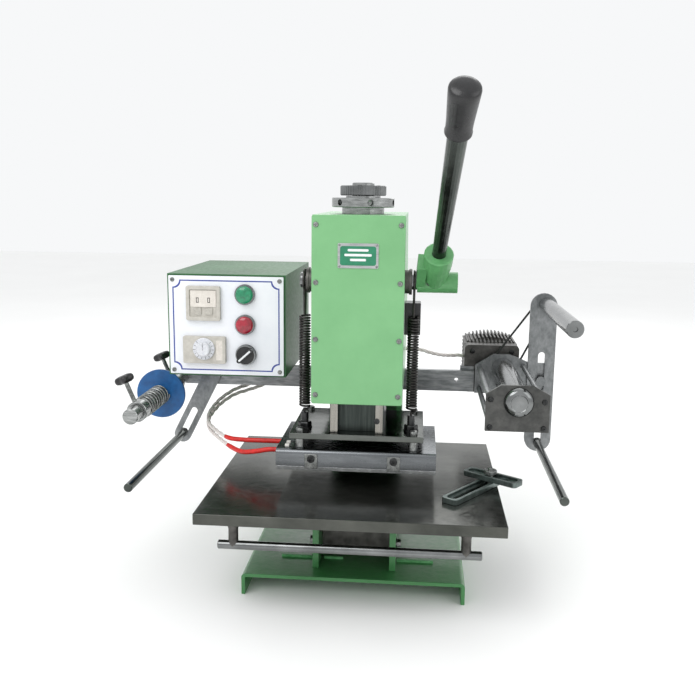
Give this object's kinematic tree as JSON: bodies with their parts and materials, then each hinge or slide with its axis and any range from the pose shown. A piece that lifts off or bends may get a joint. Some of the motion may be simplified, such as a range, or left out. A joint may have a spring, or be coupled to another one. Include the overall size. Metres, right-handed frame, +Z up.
{
  "type": "hot foil stamper",
  "caption": "Hand-lever hot foil stamping press: heated head on a rack-driven ram over a sliding table, with a foil unwind shaft, a motor foil feed and a control box on a cross bar.",
  "frame": {"origin": "middle of the plan of the machine without its leads, on the surface that it stands on", "axes": "+Z up, -Y towards the operator, +X to the operator's right"},
  "size_m": [0.6178, 0.5662, 0.6287],
  "materials": {
    "green_enamel": "hammered gloss enamel",
    "dark_green_enamel": "gloss enamel",
    "panel_white": "satin printed plate",
    "bright_steel": "polished",
    "ground_steel": "ground",
    "dark_steel": "blackened, worn",
    "chrome": "polished",
    "aluminium": "turned",
    "spring_steel": "black oiled",
    "black_plastic": "satin",
    "beige_plastic": "satin",
    "clear_cover": "gloss",
    "green_lens": "gloss",
    "red_lens": "gloss",
    "blue_plastic": "satin",
    "black_rubber": "matte",
    "glass_fibre": "braided sleeve",
    "red_silicone": "satin",
    "cast_iron": "machined"
  },
  "bodies": {
    "frame": {"base_plate": "dark_green_enamel", "frame_cheek_left": "dark_green_enamel", "frame_cheek_right": "dark_green_enamel", "column_back_plate": "dark_green_enamel", "table_bed": "dark_steel", "head_casing": "green_enamel", "front_cover": "green_enamel", "ram_guide": "cast_iron", "top_neck": "chrome", "bearing_left": "bright_steel", "bearing_right": "bright_steel", "return_spring_left": "spring_steel", "return_spring_right": "spring_steel", "cross_bar": "ground_steel", "control_box": "green_enamel", "control_panel": "panel_white", "timer": "beige_plastic", "thermostat": "clear_cover", "lamp_green": "green_lens", "lamp_red": "red_lens", "unwind_shaft": "ground_steel", "brake_spring": "ground_steel", "brake_collar": "ground_steel", "left_slotted_plate": "ground_steel", "feed_rear_plate": "dark_steel", "feed_front_plate": "dark_steel", "drive_belt": "black_rubber", "gear_motor": "aluminium", "feed_switch": "black_plastic", "heater_lead_front": "glass_fibre", "heater_lead_rear": "red_silicone", "motor_lead": "glass_fibre"},
    "lever": {"lever_shaft": "ground_steel", "pinion": "ground_steel", "lever_hub": "green_enamel", "lever_rod": "dark_steel", "lever_grip": "black_plastic"},
    "ram": {"ram": "bright_steel", "ram_rack": "ground_steel", "mounting_plate": "bright_steel", "heating_block": "bright_steel", "die_plate": "bright_steel"},
    "table": {"table_plate": "dark_steel", "table_runner": "dark_steel", "pull_handle": "bright_steel", "gauge_lower_bar": "ground_steel"},
    "gauge_arm": {"gauge_upper_bar": "ground_steel"},
    "lock_ring": {"lock_ring": "chrome"},
    "height_screw": {"height_screw": "chrome"},
    "feed_roller": {"feed_roller": "bright_steel"},
    "nip_roller": {"nip_roller": "black_rubber"},
    "takeup_roller": {"takeup_roller": "bright_steel"},
    "right_plate": {"right_slotted_plate": "ground_steel"},
    "right_rod": {"right_guide_rod": "bright_steel"},
    "left_rod": {"left_guide_rod": "bright_steel"},
    "reel": {"reel_flange": "blue_plastic"},
    "collar_knob": {"collar_knob": "black_plastic"},
    "hub_knob": {"hub_knob": "black_plastic"},
    "selector": {"selector_knob": "black_plastic"},
    "dial": {"thermostat_dial": "bright_steel"}
  },
  "joints": [
    {"name": "ram_stroke", "type": "slide", "parent": "frame", "child": "ram", "axis": [0, 0, -1], "range_m": [0, 0.023], "stiffness_N_per_m": 14000, "springref_m": -0.035, "deforming": ["return_spring_left", "return_spring_right"]},
    {"name": "lever_swing", "type": "hinge", "parent": "frame", "child": "lever", "pos_m": [0.0239, -0.03986, 0.4075], "axis": [1, 0, 0], "range_deg": [0, 73.3]},
    {"name": "table_slide", "type": "slide", "parent": "frame", "child": "table", "axis": [0, -1, 0], "range_m": [0, 0.08]},
    {"name": "gauge_swing", "type": "hinge", "parent": "table", "child": "gauge_arm", "pos_m": [0.2009, -0.03386, 0.1385], "axis": [0, 0, 1], "range_deg": [-25, 25]},
    {"name": "lock_ring_turn", "type": "hinge", "parent": "frame", "child": "lock_ring", "pos_m": [0.0239, 0.01014, 0.505], "axis": [0, 0, 1], "continuous": true},
    {"name": "height_screw_turn", "type": "hinge", "parent": "frame", "child": "height_screw", "pos_m": [0.0239, 0.01014, 0.52], "axis": [0, 0, 1], "continuous": true},
    {"name": "feed_roller_spin", "type": "hinge", "parent": "frame", "child": "feed_roller", "pos_m": [0.2319, 0.01014, 0.256], "axis": [0, 1, 0], "continuous": true},
    {"name": "nip_roller_spin", "type": "hinge", "parent": "frame", "child": "nip_roller", "pos_m": [0.2319, 0.01014, 0.2302], "axis": [0, 1, 0], "continuous": true},
    {"name": "right_plate_adjust", "type": "slide", "parent": "frame", "child": "right_plate", "axis": [0, 0, 1], "range_m": [-0.008, 0.008], "deforming": ["drive_belt"]},
    {"name": "takeup_roller_spin", "type": "hinge", "parent": "right_plate", "child": "takeup_roller", "pos_m": [0.2919, 0.01014, 0.357], "axis": [0, 1, 0], "continuous": true},
    {"name": "right_rod_adjust", "type": "slide", "parent": "right_plate", "child": "right_rod", "axis": [0, 0, 1], "range_m": [0, 0.03]},
    {"name": "left_rod_adjust", "type": "slide", "parent": "frame", "child": "left_rod", "axis": [0.4509, 0, 0.8926], "range_m": [0, 0.04]},
    {"name": "reel_spin", "type": "hinge", "parent": "frame", "child": "reel", "pos_m": [-0.2731, 0.01014, 0.226], "axis": [0, 1, 0], "continuous": true},
    {"name": "collar_knob_turn", "type": "hinge", "parent": "frame", "child": "collar_knob", "pos_m": [-0.2731, -0.03986, 0.226], "axis": [-0.3907, 0, 0.9205], "range_deg": [-180, 180]},
    {"name": "hub_knob_turn", "type": "hinge", "parent": "frame", "child": "hub_knob", "pos_m": [-0.2731, 0.12514, 0.226], "axis": [-0.3907, 0, 0.9205], "range_deg": [-180, 180]},
    {"name": "selector_turn", "type": "hinge", "parent": "frame", "child": "selector", "pos_m": [-0.1371, 0.01014, 0.2955], "axis": [0, 1, 0], "range_deg": [-90, 0]},
    {"name": "dial_turn", "type": "hinge", "parent": "frame", "child": "dial", "pos_m": [-0.1951, 0.01014, 0.3035], "axis": [0, 1, 0], "range_deg": [0, 270]}
  ],
  "couplings": [
    {"joint": "lever_swing", "follows": "ram_stroke", "rad_per_m": 55.556},
    {"joint": "nip_roller_spin", "follows": "feed_roller_spin", "ratio": -2},
    {"joint": "takeup_roller_spin", "follows": "feed_roller_spin", "ratio": 2}
  ]
}
